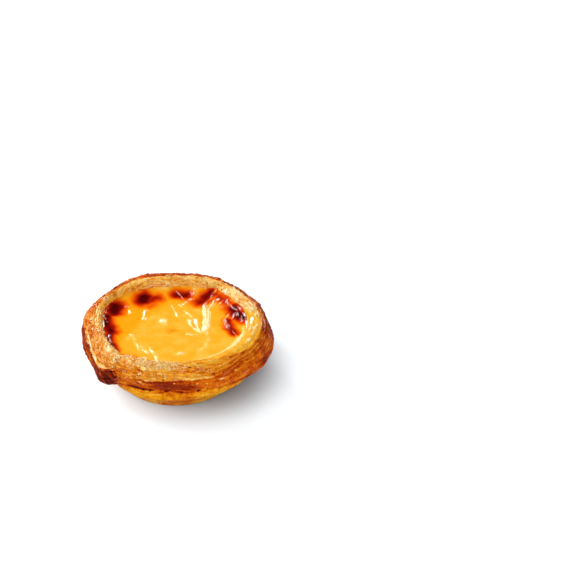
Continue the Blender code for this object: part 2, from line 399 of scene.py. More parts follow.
    # Painted highlights: small raised chips that the bake below paints near white, in place of glints
    for angle, level, size in rim["raisedChipsAndPaintedGlints"]:
        aside = (np.degrees(around) - angle) * math.radians(rim["meanRadius"])
        raisedChipAndPaintedGlint = np.maximum(raisedChipAndPaintedGlint, np.exp(-((aside / size) ** 2 + ((height - level) / 0.32) ** 2) ** 2))
    raisedChipAndPaintedGlint *= along < crestAt
    relief += 0.15 * paleChipAndPaintedGlint + 0.25 * raisedChipAndPaintedGlint - roundTheTart(around, rim["innerCut"]) * inner
    relief *= ease(0.0, 1.5, along) * ease(0.0, 1.5, along[:, -1:] - along)
    # Painted shade: hollows are painted browner than what stands proud of them, for the darker light in
    # crevices
    creaseShade = softened(softened(relief, 3.5, 1), 1.8, 0) - relief
    slopeR, slopeH = np.gradient(radius, axis=1), np.gradient(height, axis=1)
    length = np.hypot(slopeR, slopeH)
    radius = radius + relief * slopeH / length
    height = height - relief * slopeR / length

    # The buried side closes the section
    back = np.linspace(0.0, 1.0, rim["hidden"] + 2)[1:-1]
    ringR = np.hstack([radius, radius[:, -1:] + back * (radius[:, :1] - radius[:, -1:])])
    ringH = np.hstack([height, height[:, -1:] + back * (height[:, :1] - height[:, -1:])])
    ringAngles = np.repeat(angles[:, None], rim["across"], axis=1)

    # A torus is subdivided, and each of its points is then sculpted to its own place on the sections
    cuts = rim["cuts"]
    deselectAll()
    bpy.ops.mesh.primitive_torus_add(major_segments=rim["around"] // (cuts + 1), major_radius=1.0,
                                     minor_segments=rim["across"] // (cuts + 1), minor_radius=0.5)
    piece = justAdded("pastryRim")
    bpy.ops.object.mode_set(mode="EDIT")
    bpy.ops.mesh.subdivide(number_cuts=cuts)
    bpy.ops.object.mode_set(mode="OBJECT")
    plain = pointsOf(piece) * mm
    turned = np.arctan2(plain[:, 1], plain[:, 0]) / math.tau * rim["around"]
    rolled = np.arctan2(plain[:, 2], np.hypot(plain[:, 0], plain[:, 1]) - 1.0) / math.tau * rim["across"]
    spot = (np.rint(turned).astype(int) % rim["around"], np.rint(rolled).astype(int) % rim["across"])
    putPoints(piece, ringPlaces(ringAngles, ringR, ringH)[spot])
    bpy.ops.object.shade_smooth()

    # How brown each place is, and how much egg yolk shows. The browning also carries painted shade in hollows
    # and painted highlights on ridges, lumps and chips
    bake = sum(zones[name] * roundTheTart(around, rim["bake"][name]) for name in zones)
    egg = sum(zones[name] * roundTheTart(around, rim["egg"][name]) for name in zones)
    bake += 0.1 * cloud(base, 6.0, 13) + 0.06 * cloud(base, 2.0, 14) + 0.12 * leafEdge
    bake += (0.2 + 0.24 * near(around, 35.0, 55.0) - 0.1 * blistered) * leafTint - 0.16 * charred * hanging
    bake += 0.16 * cloud(base, 3.5, 26) * near(around, 350.0, 60.0) + 0.06 * blistered
    bake -= 0.24 * flaky * (near(around, 195.0, 50.0) + near(around, 35.0, 55.0)) * (1.0 - 0.7 * band)
    bake += 0.1 * (share > 0.8) * (drop > 0.2) * (1.0 - band)
    bake += 0.9 * np.clip(cloud(base, 1.1, 15) - 0.4, 0.0, 1.0) + 0.09 * charred
    # Painted shade in the hollows; on the lumps by the tail, painted highlight on the tops and painted shade
    # in the creases
    bake += np.clip(rim["creaseShadeBake"] * creaseShade, -0.12, 0.3) - 0.18 * lumpy * (lump - 0.5)
    # Painted highlight: the ridge line is painted pale
    bake -= 0.3 * blistered * (blister - 0.5) + 0.7 * ridgeAndPaintedGlint
    bake += 0.3 * redBelow * (1.0 - ridgeAndPaintedGlint)
    # The hollow of the front band is painted darker: partly its browning, partly painted shade under the
    # ledge
    bake += 0.16 * near(around, 264.0, 24.0) * band * np.sin(np.pi * hollow) ** 0.5
    bake = np.minimum(bake, 0.82 + 0.18 * np.maximum(charred, redBelow) - 0.3 * lumpy)
    for angle, rise in rim["pits"]:
        aside = (np.degrees(around) - angle) * math.radians(rim["meanRadius"])
        bake = np.maximum(bake, 0.92 * np.exp(-((aside / 1.2) ** 2 + ((along - rise) / 0.8) ** 2) ** 2))
    bake += over * (0.29 + 0.1 * cloud(base, 3.0, 25) - bake) + 0.5 * over * (1.0 - over)
    bake -= 0.2 * over * np.exp(-(((endAt - along - 0.6) / 1.0) ** 2)) * near(around, 325.0, 50.0)
    # Painted highlights: the pale chips on the right-back and the glazed chips are painted paler
    bake *= (1.0 - 0.75 * paleChipAndPaintedGlint) * (1.0 - 0.95 * raisedChipAndPaintedGlint)
    egg = np.maximum(egg, over) * (1.0 - 0.6 * paleChipAndPaintedGlint)
    blistered = blistered * (1.0 - over)
    pad = np.zeros((rim["around"], rim["hidden"]))
    paint(piece, "bake", np.hstack([np.clip(bake, 0.0, 1.0), pad + 0.3])[spot])
    paint(piece, "egg", np.hstack([np.clip(egg, 0.0, 1.0), pad])[spot])
    glaze = 0.45 + cloud(base, 3.0, 20) + 0.6 * cloud(streak, 0.7, 21) - 0.75 * band - 0.4 * steps
    glaze += ridgeAndPaintedGlint + 0.2 * charred + 0.5 * redBelow + raisedChipAndPaintedGlint + paleChipAndPaintedGlint - 0.1 * over
    paint(piece, "glaze", np.hstack([np.clip(glaze, 0.0, 1.0), pad])[spot])
    paint(piece, "crumbly", np.hstack([blistered, pad])[spot])
    paintPlace(piece, "grain", ringPlaces(ringAngles, rim["meanRadius"] * 0.2, np.hstack([along, pad]))[spot])
    skin = {"places": ringPlaces(around, radius, height), "bake": bake, "egg": egg, "dry": blistered,
            "edges": (1.0 - inner) * (1.0 - 0.9 * band) * (1.0 - over) * (0.25 + 0.75 * (share > 0.75))}
    return piece, skin


# Crumbs and thin flakes that broke loose on the crust

crumbs = {
    "doublings": 11,
    "loose": 0.6,            # share of them that are crumbs on the dry crest, the others being flakes
    "crumbSize": (0.2, 0.42),
    "flakeSize": ((0.5, 1.3), (0.2, 0.36), (0.1, 0.18)),  # half sizes: along the wraps, across, and thick
    "sunk": 0.45,            # share of its thickness that lies in the crust
}


def makeCrumbs(skin):
    # One grain, doubled over and over, then each copy is shaped and laid on the crust
    deselectAll()
    bpy.ops.mesh.primitive_ico_sphere_add(subdivisions=2, radius=1.0)
    piece = justAdded("pastryCrumbs")
    bpy.ops.object.mode_set(mode="EDIT")
    for _ in range(crumbs["doublings"]):
        bpy.ops.mesh.select_all(action="SELECT")
        bpy.ops.mesh.duplicate_move(TRANSFORM_OT_translate={"value": (0, 0, 3)})
    bpy.ops.object.mode_set(mode="OBJECT")
    bpy.ops.object.shade_smooth()
    count = 2 ** crumbs["doublings"]
    ball = (pointsOf(piece) * mm).reshape(count, -1, 3)[0]

    rng = np.random.default_rng(11)
    places = skin["places"]
    runs = np.roll(places, -1, axis=0) - np.roll(places, 1, axis=0)
    rises = np.gradient(places, axis=1)
    outs = np.cross(runs, rises)
    loose = int(count * crumbs["loose"])
    spots = []
    for weights, number in ((skin["dry"] ** 1.5, loose), (skin["edges"], count - loose)):
        chance = np.clip(weights, 0.0, None).ravel()
        spots.append(rng.choice(chance.size, number, p=chance / chance.sum()))
    spots = np.concatenate(spots)
    isFlake = (np.arange(count) >= loose)[:, None]

    def unit(vectors):
        return vectors / np.linalg.norm(vectors, axis=-1, keepdims=True)

    at = places.reshape(-1, 3)[spots]
    up = unit(outs.reshape(-1, 3)[spots])
    stray = rng.normal(size=(count, 3)) * np.where(isFlake, 0.12, 1.0)
    ahead = unit(runs.reshape(-1, 3)[spots] * isFlake + stray)
    side = unit(np.cross(up, ahead))
    ahead = np.cross(side, up)
    size = rng.uniform(*crumbs["crumbSize"], (count, 1)) * rng.uniform(0.7, 1.3, (count, 3))
    flakeSize = np.column_stack([rng.uniform(*limits, count) for limits in crumbs["flakeSize"]])
    size = np.where(isFlake, flakeSize, size)
    shapes = ball[None] * (1.0 + 0.35 * cloud(ball[None] + rng.uniform(0, 99, (count, 1, 3)), 0.8)[..., None])
    shapes = shapes * size[:, None]
    lift = size[:, 2] * (1.0 - 2.0 * crumbs["sunk"] * rng.uniform(0.4, 1.3, count))
    placed = at[:, None] + shapes[..., :1] * ahead[:, None] + shapes[..., 1:2] * side[:, None]
    placed = placed + (shapes[..., 2:] + lift[:, None, None]) * up[:, None]
    putPoints(piece, placed.reshape(-1, 3))

    each = rng.normal(0.0, 1.0, count)
    bake, egg = (skin[name].ravel()[spots] for name in ("bake", "egg"))
    bake = np.where(isFlake[:, 0], bake - 0.04 + 0.12 * each, 0.04 + 0.16 * bake + 0.09 * each)
    shine = np.where(isFlake[:, 0], rng.uniform(0.0, 1.0, count), 0.2)
    egg = np.where(isFlake[:, 0], egg, 0.1)
    painted = {"bake": np.clip(bake, 0.0, 0.85), "egg": np.clip(egg, 0.0, 1.0), "glaze": shine,
               "crumbly": np.zeros(count)}
    for name, values in painted.items():
        paint(piece, name, np.repeat(values, len(ball)))
    paintPlace(piece, "grain", placed.reshape(-1, 3))
    return piece


# Cup below the rim: pastry pressed thin against a round tin

cup = {
    "around": 480,
    "top": 8.4,            # mm, where the rim's lip begins to hide it
    "rows": 34,
    "lean": 0.45,          # outward slope above that
    "buriedHeight": 17.0,
    "footRings": 9,
    "bake": {0: .44, 60: .46, 120: .44, 180: .4, 225: .36, 240: .28, 252: .26, 268: .46, 282: .4, 298: .24,
             312: .28, 330: .4},
    "burntLine": {236: 0.0, 240: 0.35, 254: 0.35, 258: 0.0},  # close under the lip
    "burntHeight": 12.9,
    "pits": ((242.0, 12.8, 0.8), (248.6, 12.6, 1.1), (253.0, 12.4, 0.7), (265.3, 12.6, 1.5), (277, 12.2, 0.4),
             (288.7, 12.7, 1.1), (295.0, 13.2, 0.5)),  # burnt dots: angle, height, half width in mm
}


def makeCup():
    angles = np.arange(cup["around"]) * math.tau / cup["around"]
    lowHeights = cup["top"] * np.linspace(0.0, 1.0, cup["rows"]) ** 1.3
    lowRadius = np.array([[levelReach(shellTree, a, max(h, 0.05)) for h in lowHeights] for a in columnAngles])
    lowRadius = softened(lowRadius, 1.5, 0)
    highHeights = np.linspace(cup["top"], cup["buriedHeight"], 26)[1:]
    highRadius = lowRadius[:, -1:] + (highHeights - cup["top"]) * cup["lean"]
    highRadius = np.minimum(highRadius, lipReach[:, None] - 3.6)
    footShares = np.linspace(0.04, 1.0, cup["footRings"], endpoint=False)
    profileR = np.hstack([lowRadius[:, :1] * footShares, lowRadius, highRadius])
    profileH = np.concatenate([np.zeros(cup["footRings"]), lowHeights, highHeights])

    # Rings are pulled up one after another from a circle, and each is then let out to the measured wall
    deselectAll()
    bpy.ops.mesh.primitive_circle_add(vertices=cup["around"], radius=1.0, fill_type="NGON")
    piece = justAdded("pastryCup")
    bpy.ops.object.mode_set(mode="EDIT")
    for _ in profileH[1:]:
        bpy.ops.mesh.extrude_region_move(TRANSFORM_OT_translate={"value": (0, 0, 1)})
    bpy.ops.object.mode_set(mode="OBJECT")
    flat = pointsOf(piece) * mm
    row = np.rint(flat[:, 2]).astype(int)
    turn = np.arctan2(flat[:, 1], flat[:, 0]) % math.tau
    table = atAngles(angles, profileR)
    column = np.rint(turn / math.tau * cup["around"]).astype(int) % cup["around"]
    radius = table[column, row]
    height = profileH[row]
    places = ringPlaces(turn, radius, height)
    streak = ringPlaces(turn, rim["meanRadius"] * 0.16, height + 0.4 * radius)
    shown = ease(0.3, 3.0, height)
    relief = 0.28 * cloud(places, 9.0, 21) + 0.16 * cloud(streak, 1.1, 22) + 0.08 * cloud(places, 1.4, 23)
    relief *= shown
    under = 1.0 - ease(0.0, 0.3, height)
    coil = 0.5 + 0.5 * np.cos(math.tau * (radius / 3.0 - turn / math.tau))
    lift = under * ease(0.0, 4.0, lowRadius.mean() - 3.0 - radius) * 0.35 * coil**6
    places = ringPlaces(turn, radius + relief, height + lift)
    putPoints(piece, places)
    deselectAll()
    piece.select_set(True)
    bpy.ops.object.mode_set(mode="EDIT")
    bpy.ops.mesh.select_all(action="SELECT")
    bpy.ops.mesh.normals_make_consistent(inside=False)
    bpy.ops.object.mode_set(mode="OBJECT")
    bpy.ops.object.shade_smooth()

    bake = 0.12 + roundTheTart(turn, cup["bake"])
    bake += 0.12 * cloud(places, 7.0, 24) + 0.2 * cloud(streak, 0.9, 25)
    bake += 0.16 * cloud(places * np.array([1.0, 1.0, 0.4]), 2.2, 27)
    bake += 0.22 * ease(9.5, 13.5, height) - 0.05 * ease(4.0, 0.0, height)
    bake += 0.6 * np.clip(cloud(places, 1.2, 26) - 0.45, 0.0, 1.0) * ease(6.0, 12.0, height)
    bake += roundTheTart(turn, cup["burntLine"]) * np.exp(-((height - cup["burntHeight"]) / 0.6) ** 2)
    for angle, level, size in cup["pits"]:
        aside = (np.degrees(turn) - angle) * math.radians(wallReach.mean())
        bake = np.maximum(bake, 1.02 * np.exp(-(((aside / size) ** 2 + ((height - level) / 0.7) ** 2) ** 2)))
    paint(piece, "bake", np.clip(bake, 0.0, 1.0))
    paint(piece, "egg", np.full(len(places), 1.0))
    paint(piece, "crumbly", np.zeros(len(places)))
    paint(piece, "glaze", np.zeros(len(places)))
    paintPlace(piece, "grain", ringPlaces(turn, rim["meanRadius"] * 0.2, height + radius))
    return piece


# Custard: a glossy baked skin, wrinkled where it sank, scorched in spots and yellow in the middle

custard = {
    "across": 290,
    "overlap": 1.3,       # mm that its edge runs into the rim
    "skirt": 4.5,
    "meniscus": {90: 0.9, 135: 0.9, 170: 0.7, 210: 0.6, 250: 0.3, 290: 0.35, 330: 0.5, 0: 0.6, 45: 0.7},
    "meniscusWidth": {90: 2.4, 135: 2.2, 170: 1.0, 210: 0.9, 250: 0.9, 290: 1.2, 330: 1.2, 0: 1.0, 45: 1.6},
    # (height, half width), then places in mm as seen from above, +X right and +Y back
    "folds": [
        ((0.6, 0.85), (16, 28), (14.5, 23), (11.7, 17.5), (11.5, 13.6), (12.2, 7.5), (12.5, 1.6), (11.8, -3)),
        ((0.35, 0.5), (15.8, 23.8), (14.7, 18.3), (13.2, 13.6), (13.6, 6), (13.4, 0), (12.7, -3.6)),
        ((0.15, 1.1), (12.7, -3.6), (14.3, -8.7), (12.8, -14.4), (10, -18.6)),
        ((0.35, 0.6), (5.9, 27.8), (6, 24.6)),
        ((0.3, 0.5), (4.9, 21.8), (4.9, 21)),
        ((0.35, 0.4), (-2, 27), (0.3, 23.8), (2.8, 19), (1.6, 17.5)),
        ((0.25, 0.4), (-3, 16), (-1.6, 13), (-0.5, 9)),
        ((0.25, 0.5), (-0.1, 17.5), (1.3, 16)),
        ((0.25, 0.4), (2.4, 12), (4.2, 10.6), (6, 7.5)),
        ((0.35, 0.5), (5, 5.3), (6, 1.6), (7.5, -1.4)),
        ((0.35, 0.45), (7.6, 5.3), (8.7, 0.8), (10, -3)),
        ((0.3, 0.45), (6, 0.8), (8.4, -2), (10.6, -3.6)),
        ((0.3, 0.5), (5.2, -5), (7.3, -5.8), (9, -5)),
        ((0.3, 0.5), (18.3, 17.5), (19.5, 19.8)),
        ((0.3, 0.5), (21, 19), (21.4, 16)),
        ((0.4, 0.5), (22.3, 16), (24, 13.6), (26, 11.3)),
        ((0.4, 0.45), (24.3, 6.8), (25, 9.8), (26, 6.8), (27, 7.5), (27.8, 4.5), (28.3, 3)),
        ((0.4, 0.45), (22, 9), (21, 5.3), (21, 2.3), (22.5, -2), (23.8, -3.6), (25, -5.8), (26, -7.2)),
        ((0.2, 0.9), (28.3, 3), (28.9, -1.4), (28, -6.5)),
        ((0.22, 1.0), (28, -6.5), (26, -11.6), (23, -16.5), (19.4, -20), (15.3, -22.8), (11.3, -25)),
        ((0.2, 0.8), (-18.6, -5.8), (-16.4, -10.8), (-14.7, -15.8)),
        ((0.2, 0.6), (-10.2, -14.4), (-8, -19.3), (-6, -24.2)),
        ((0.2, 0.6), (-14, -13.7), (-10.7, -18.6)),
        ((0.3, 0.5), (-32, 9), (-28.4, 6.8), (-26, 6)),
        ((0.25, 0.7), (-12.4, -22.8), (-10.9, -25.6)),
        ((0.25, 0.7), (1.9, -20), (4.3, -18.6)),
        ((0.2, 0.8), (-6.2, 4.5), (-4.7, 2.3)),
        ((0.2, 0.7), (-13.7, 12), (-14.5, 6)),
        ((0.2, 0.7), (-20.6, 11.3), (-22.7, 15.2)),
        ((0.4, 0.45), (-31.6, 5.8), (-29.6, 2.6)),
        ((0.4, 0.4), (-28.2, -6.5), (-26.2, -13), (-23.8, -18.6)),
    ],
    # (strength, radius), then one place or more
    "scorched": [
        ((1.05, 3.9), (-27.9, 11), (-27.4, 14.8)), ((1.05, 3.9), (-16.2, 19.6), (-15.6, 22.4)),
        ((0.7, 3.6), (-13, 20.5), (-10.6, 21.8)), ((0.35, 3.0), (-12.5, 15.5), (-11, 18)),
        ((0.85, 3.3), (-1.4, 25), (2.6, 24.4)), ((0.8, 3.6), (8.6, 19.4), (13.7, 25.6)),
        ((0.6, 3.0), (17.5, 22.5), (21.4, 17.1)), ((1.1, 3.3), (23.4, 13.6), (25.1, 10.4), (28, 6)),
        ((0.7, 2.4), (21.8, 4.5), (22.8, -1), (25, -5.2)), ((1.0, 3.2), (-31, 7), (-30.4, 2.3), (-28, -3.6)),
        ((0.85, 2.2), (-28.6, -3.6), (-27, -10.9), (-24.5, -17)), ((0.5, 2.0), (-20, -21.6), (-16.5, -23.2)),
        ((0.16, 2.2), (-3.5, -2), (-1.5, -2)),
    ],
    # Small humps that catch the light, painted paler as highlights too: (height, radius), place
    "pips": [
        ((0.55, 1.5), (6, 25.4)), ((0.4, 1.0), (5.4, 21.4)), ((0.3, 1.7), (-6.1, 4.8)),
        ((0.4, 1.2), (2.6, -19.3)),
        ((0.45, 1.3), (-12.1, -22.4)), ((0.3, 0.9), (-13.9, 12.1)), ((0.3, 1.2), (-20.7, 10.4)),
        ((0.3, 1.0), (-14.3, 6.1)), ((0.3, 0.8), (-22.3, 14.9)), ((0.4, 1.0), (17.6, 20.6)),
        ((0.3, 0.8), (19.6, 15)),
    ],
    # Above this line the skin is deeper yellow: {x: y}, and {x: how deep}
    "paleEdge": {-33: -24, -26: -17, -21: -7, -17: 1, -12: 9, -6: 14.5, -1.5: 17.5, 6: 17.5, 11: 13,
                 14: 2, 18: -4, 24: -8, 32: -11},
    "deep": {-30: 0.52, -10: 0.47, 0: 0.44, 12: 0.38, 20: 0.33, 30: 0.35},
}


def alongLine(places, line):
    # Distance in mm from each place to a line of straight runs
    nearest = np.full(len(places), 1e3)
    for start, end in zip(line, line[1:]):
        start, run = np.array(start, float), np.subtract(end, start)
        share = np.clip((places - start) @ run / max(run @ run, 1e-6), 0.0, 1.0)
        nearest = np.minimum(nearest, np.hypot(*(places - start - share[:, None] * run).T))
    return nearest


def custardTable():
    # Height of the solid's surface, by angle and share of the way out
    shares = np.linspace(0.0, 0.985, 26)
    heights = np.empty((measure["columns"], len(shares)))
    for column, (angle, edge) in enumerate(zip(columnAngles, edgeReach)):
        for step, share in enumerate(shares):
            start = outward(angle) * share * edge + Vector((0, 0, 60))
            heights[column, step] = fillingTree.ray_cast(start, Vector((0, 0, -1)))[0].z
    return shares, softened(softened(heights, 4.0, 0), 1.2, 1)


def makeCustard():
    deselectAll()
    cells = custard["across"] - 1
    bpy.ops.mesh.primitive_grid_add(x_subdivisions=cells, y_subdivisions=cells, size=2)
    piece = justAdded("custardTop")
    square = pointsOf(piece) * mm
    u, v = square[:, 0], square[:, 1]
    x, y = u * np.sqrt(1.0 - v * v / 2), v * np.sqrt(1.0 - u * u / 2)
    angle, share = np.arctan2(y, x), np.hypot(x, y)
    edge = atAngles(angle, softened(edgeReach[:, None], 1.5, 0)[:, 0]) + custard["overlap"]
    radius = share * edge
    shares, heights = custardTable()
    rows = atAngles(angle, heights)
    step = np.clip(share, 0.0, shares[-1]) / shares[-1] * (len(shares) - 1)
    low = np.minimum(step.astype(int), len(shares) - 2)
    part = step - low
    pick = np.arange(len(low))
    height = rows[pick, low] * (1 - part) + rows[pick, low + 1] * part
    flat = np.stack([radius * np.cos(angle), radius * np.sin(angle)], axis=-1)
    places = np.column_stack([flat, np.zeros(len(flat))])

    inset = np.maximum(edge - radius - custard["overlap"] + 0.5, 0.0)
    warped = flat + np.column_stack([cloud(places, 3.0, 31), cloud(places, 3.0, 32)]) * 0.5
    climb, width = (roundTheTart(angle, custard[name]) for name in ("meniscus", "meniscusWidth"))
    relief = climb * np.exp(-inset / width)
    relief += 0.3 * cloud(places, 11.0, 33) + 0.08 * cloud(places, 4.0, 34) + 0.012 * cloud(places, 1.4, 35)
    along = np.clip(0.9 + 0.7 * cloud(places, 2.2, 36), 0.2, 1.5)
    folded, creamAndPaintedGlint = np.zeros(len(flat)), np.zeros(len(flat))
    # Fold tops are painted paler: partly the cream skin, partly painted highlight
    for (rise, width), *line in custard["folds"]:
        ridge = along * np.exp(-(alongLine(warped, line) / width) ** 2)
        relief += rise * ridge
        folded = np.maximum(folded, ridge)
        creamAndPaintedGlint = np.maximum(creamAndPaintedGlint, ridge * min(rise / 0.45, 1.0))

    scorch = np.zeros(len(flat))
    halo = np.zeros(len(flat))
    for (rise, wide), place in custard["pips"]:
        pip = np.exp(-(np.hypot(*(warped - place).T) / wide) ** 2)
        relief += rise * pip
        folded, creamAndPaintedGlint = np.maximum(folded, 0.8 * pip), np.maximum(creamAndPaintedGlint, 0.8 * pip)
    smudged = flat + np.column_stack([cloud(places, 4.0, 37), cloud(places, 4.0, 38)]) * 0.9
    for (strength, size), *line in custard["scorched"]:
        away = alongLine(smudged, line if len(line) > 1 else line * 2)
        scorch = np.maximum(scorch, strength * np.exp(-(away / size) ** 1.7))
        halo = np.maximum(halo, strength * np.exp(-(away / (1.8 * size)) ** 2))
    # Fold tops are kept from scorching: partly unscorched skin, partly painted highlight
    lit = 1.0 - 0.6 * np.clip(folded, 0.0, 1.0) ** 5
    scorch *= (1.0 + 0.2 * cloud(places, 2.2, 39)) * lit
    halo *= lit

    line, deep = (np.interp(smudged[:, 0], list(custard[name]), list(custard[name].values()))
                  for name in ("paleEdge", "deep"))
    above = smudged[:, 1] - line
    leftEdge = ease(6.0, 1.0, inset) * near(angle, 225.0, 35.0)
    toast = 0.28 + (deep - 0.28) * np.maximum(ease(-2.5, 3.0, above), leftEdge)
    toast -= 0.35 * np.exp(-((inset / 2.2) ** 2)) * near(angle, 105.0, 62.0)
    toast -= 0.2 * np.exp(-((inset / 1.3) ** 2)) * near(angle, 320.0, 55.0)
    toast = np.maximum(toast, 0.78 * halo)
    # Folds and humps painted pale: cream skin and painted highlight
    toast += 0.08 * cloud(places, 5.0, 40) + 0.04 * cloud(places, 1.6, 41) - 0.45 * creamAndPaintedGlint

    putPoints(piece, np.column_stack([flat, height + relief]))
    paint(piece, "scorch", np.clip(scorch, 0.0, 1.0))
    paint(piece, "toast", np.clip(toast, 0.0, 1.0))

    bpy.ops.object.mode_set(mode="EDIT")
    bpy.ops.mesh.select_mode(type="EDGE")
    bpy.ops.mesh.select_all(action="SELECT")
    bpy.ops.mesh.region_to_loop()
    bpy.ops.mesh.extrude_edges_move(TRANSFORM_OT_translate={"value": (0, 0, -custard["skirt"] * mm)})
    bpy.ops.mesh.edge_face_add()
    bpy.ops.mesh.select_all(action="SELECT")
    bpy.ops.mesh.normals_make_consistent(inside=False)
    bpy.ops.object.mode_set(mode="OBJECT")
    bpy.ops.object.shade_smooth()
    return piece


pastryRim, rimSkin = makeRim()
print("sculpted the rim", len(pastryRim.data.polygons))
pastryCrumbs = makeCrumbs(rimSkin)
print("laid the crumbs and flakes", len(pastryCrumbs.data.polygons))
pastryCup = makeCup()
print("pulled up the cup", len(pastryCup.data.polygons))
custardTop = makeCustard()
print("set the custard", len(custardTop.data.polygons))


# Finishes

def colour(red, green, blue):
    # Screen colours, 0 to 255, as the shader wants them
    shares = [value / 255 for value in (red, green, blue)]
    linear = [share / 12.92 if share <= 0.04 else ((share + 0.055) / 1.055) ** 2.4 for share in shares]
    return (*linear, 1.0)


class Finish:
    def __init__(self, name):
        self.material = bpy.data.materials.new(name)
        self.material.use_nodes = True
        self.nodes = self.material.node_tree.nodes
        self.links = self.material.node_tree.links
        self.shader = self.nodes["Principled BSDF"]

    def set(self, node, socket, value):
        if isinstance(value, bpy.types.NodeSocket):
            self.links.new(value, node.inputs[socket])
        else:
            node.inputs[socket].default_value = value

    def attribute(self, name, output="Fac"):
        node = self.nodes.new("ShaderNodeAttribute")
        node.attribute_name = name
        return node.outputs[output]

    def place(self):
        return self.nodes.new("ShaderNodeTexCoord").outputs["Object"]

    def maths(self, operation, first, second=0.0, third=0.0):
        node = self.nodes.new("ShaderNodeMath")
        node.operation = operation
        for socket, value in enumerate((first, second, third)):
            self.set(node, socket, value)
        return node.outputs[0]

    def between(self, value, low, high, newLow=0.0, newHigh=1.0):
        node = self.nodes.new("ShaderNodeMapRange")
        node.interpolation_type = "SMOOTHSTEP"
        for socket, number in enumerate((value, low, high, newLow, newHigh)):
            self.set(node, socket, number)
        return node.outputs[0]

    def noise(self, where, scale, detail=3.0, rough=0.55, warp=0.0):
        node = self.nodes.new("ShaderNodeTexNoise")
        for socket, value in (("Vector", where), ("Scale", scale), ("Detail", detail), ("Roughness", rough),
                              ("Distortion", warp)):
            self.set(node, socket, value)
        return node.outputs["Fac"]

    def cells(self, where, scale):
        node = self.nodes.new("ShaderNodeTexVoronoi")
        self.set(node, "Vector", where)
        self.set(node, "Scale", scale)
        return node.outputs["Distance"]

    def ramp(self, value, stops):
        node = self.nodes.new("ShaderNodeValToRGB")
        points = node.color_ramp.elements
        while len(points) < len(stops):
            points.new(0.5)
        for point, (place, shade) in zip(points, sorted(stops)):
            point.position = place
            point.color = shade
        self.set(node, "Fac", value)
        return node.outputs["Color"]

    def mix(self, share, first, second, blend="MIX"):
        node = self.nodes.new("ShaderNodeMix")
        node.data_type = "RGBA"
        node.blend_type = blend
        self.set(node, 0, share)
        self.set(node, 6, first)
        self.set(node, 7, second)
        return node.outputs[2]

    def bump(self, height, distance, below=None, strength=1.0):
        node = self.nodes.new("ShaderNodeBump")
        self.set(node, "Height", height)
        self.set(node, "Distance", distance)
        self.set(node, "Strength", strength)
        if below is not None:
            self.set(node, "Normal", below)
        return node.outputs[0]


def bakedPastry():
    finish = Finish("bakedPastry")
    bake, egg = finish.attribute("bake"), finish.attribute("egg")
    grain, place = finish.attribute("grain", "Vector"), finish.place()
    crumbly = finish.attribute("crumbly")
    leaves = finish.noise(grain, 1.7, 5.0, 0.62)
    crumb = finish.noise(place, 1100.0, 4.0, 0.65)
    patches = finish.noise(place, 260.0, 2.0)
    crumbs = finish.maths("SUBTRACT", 1.0, finish.cells(place, 950.0))
    flecks = finish.maths("MULTIPLY_ADD", leaves, 0.45, finish.maths("MULTIPLY_ADD", crumb, 0.6, -0.525))
    flecks = finish.maths("MULTIPLY_ADD", patches, 0.2, finish.maths("SUBTRACT", flecks, 0.1))
    brown = finish.maths("MULTIPLY_ADD", flecks, finish.between(bake, 0.5, 0.8, 1.0, 0.45), bake)
    # Painted shade: darker in the gaps between crumbs
    shadedGap = finish.maths("MULTIPLY", finish.between(crumbs, 0.55, 0.25), crumbly)
    brown = finish.maths("MULTIPLY_ADD", shadedGap, 0.22, brown)
    crust = finish.ramp(brown, [
        (0.0, colour(255, 222, 160)), (0.18, colour(255, 198, 108)), (0.36, colour(248, 162, 56)),
        (0.5, colour(234, 126, 14)), (0.64, colour(208, 86, 0)), (0.78, colour(160, 46, 0)),
        (0.9, colour(106, 20, 0)), (1.0, colour(56, 8, 0))])
    yolky = finish.ramp(brown, [
        (0.0, colour(255, 222, 126)), (0.2, colour(250, 190, 58)), (0.4, colour(240, 154, 10)),
        (0.56, colour(218, 114, 0)), (0.7, colour(190, 70, 0)), (0.85, colour(124, 30, 0)),
        (1.0, colour(56, 10, 0))])
    finish.set(finish.shader, "Base Color", finish.mix(egg, crust, yolky))
    finish.set(finish.shader, "Roughness", finish.between(crumb, 0.3, 0.7, 0.35, 0.7))
    finish.set(finish.shader, "Specular IOR Level", 0.04)
    shine = finish.maths("MULTIPLY", finish.attribute("glaze"), finish.between(brown, 1.0, 0.75))
    finish.set(finish.shader, "Coat Weight", shine)
    finish.set(finish.shader, "Coat Roughness", 0.12)
    lumps = finish.bump(finish.maths("MULTIPLY", crumbs, crumbly), 0.0009)
    fine = finish.bump(crumb, 0.0008, lumps)
    finish.set(finish.shader, "Normal", finish.bump(leaves, 0.0009, fine))
    return finish.material


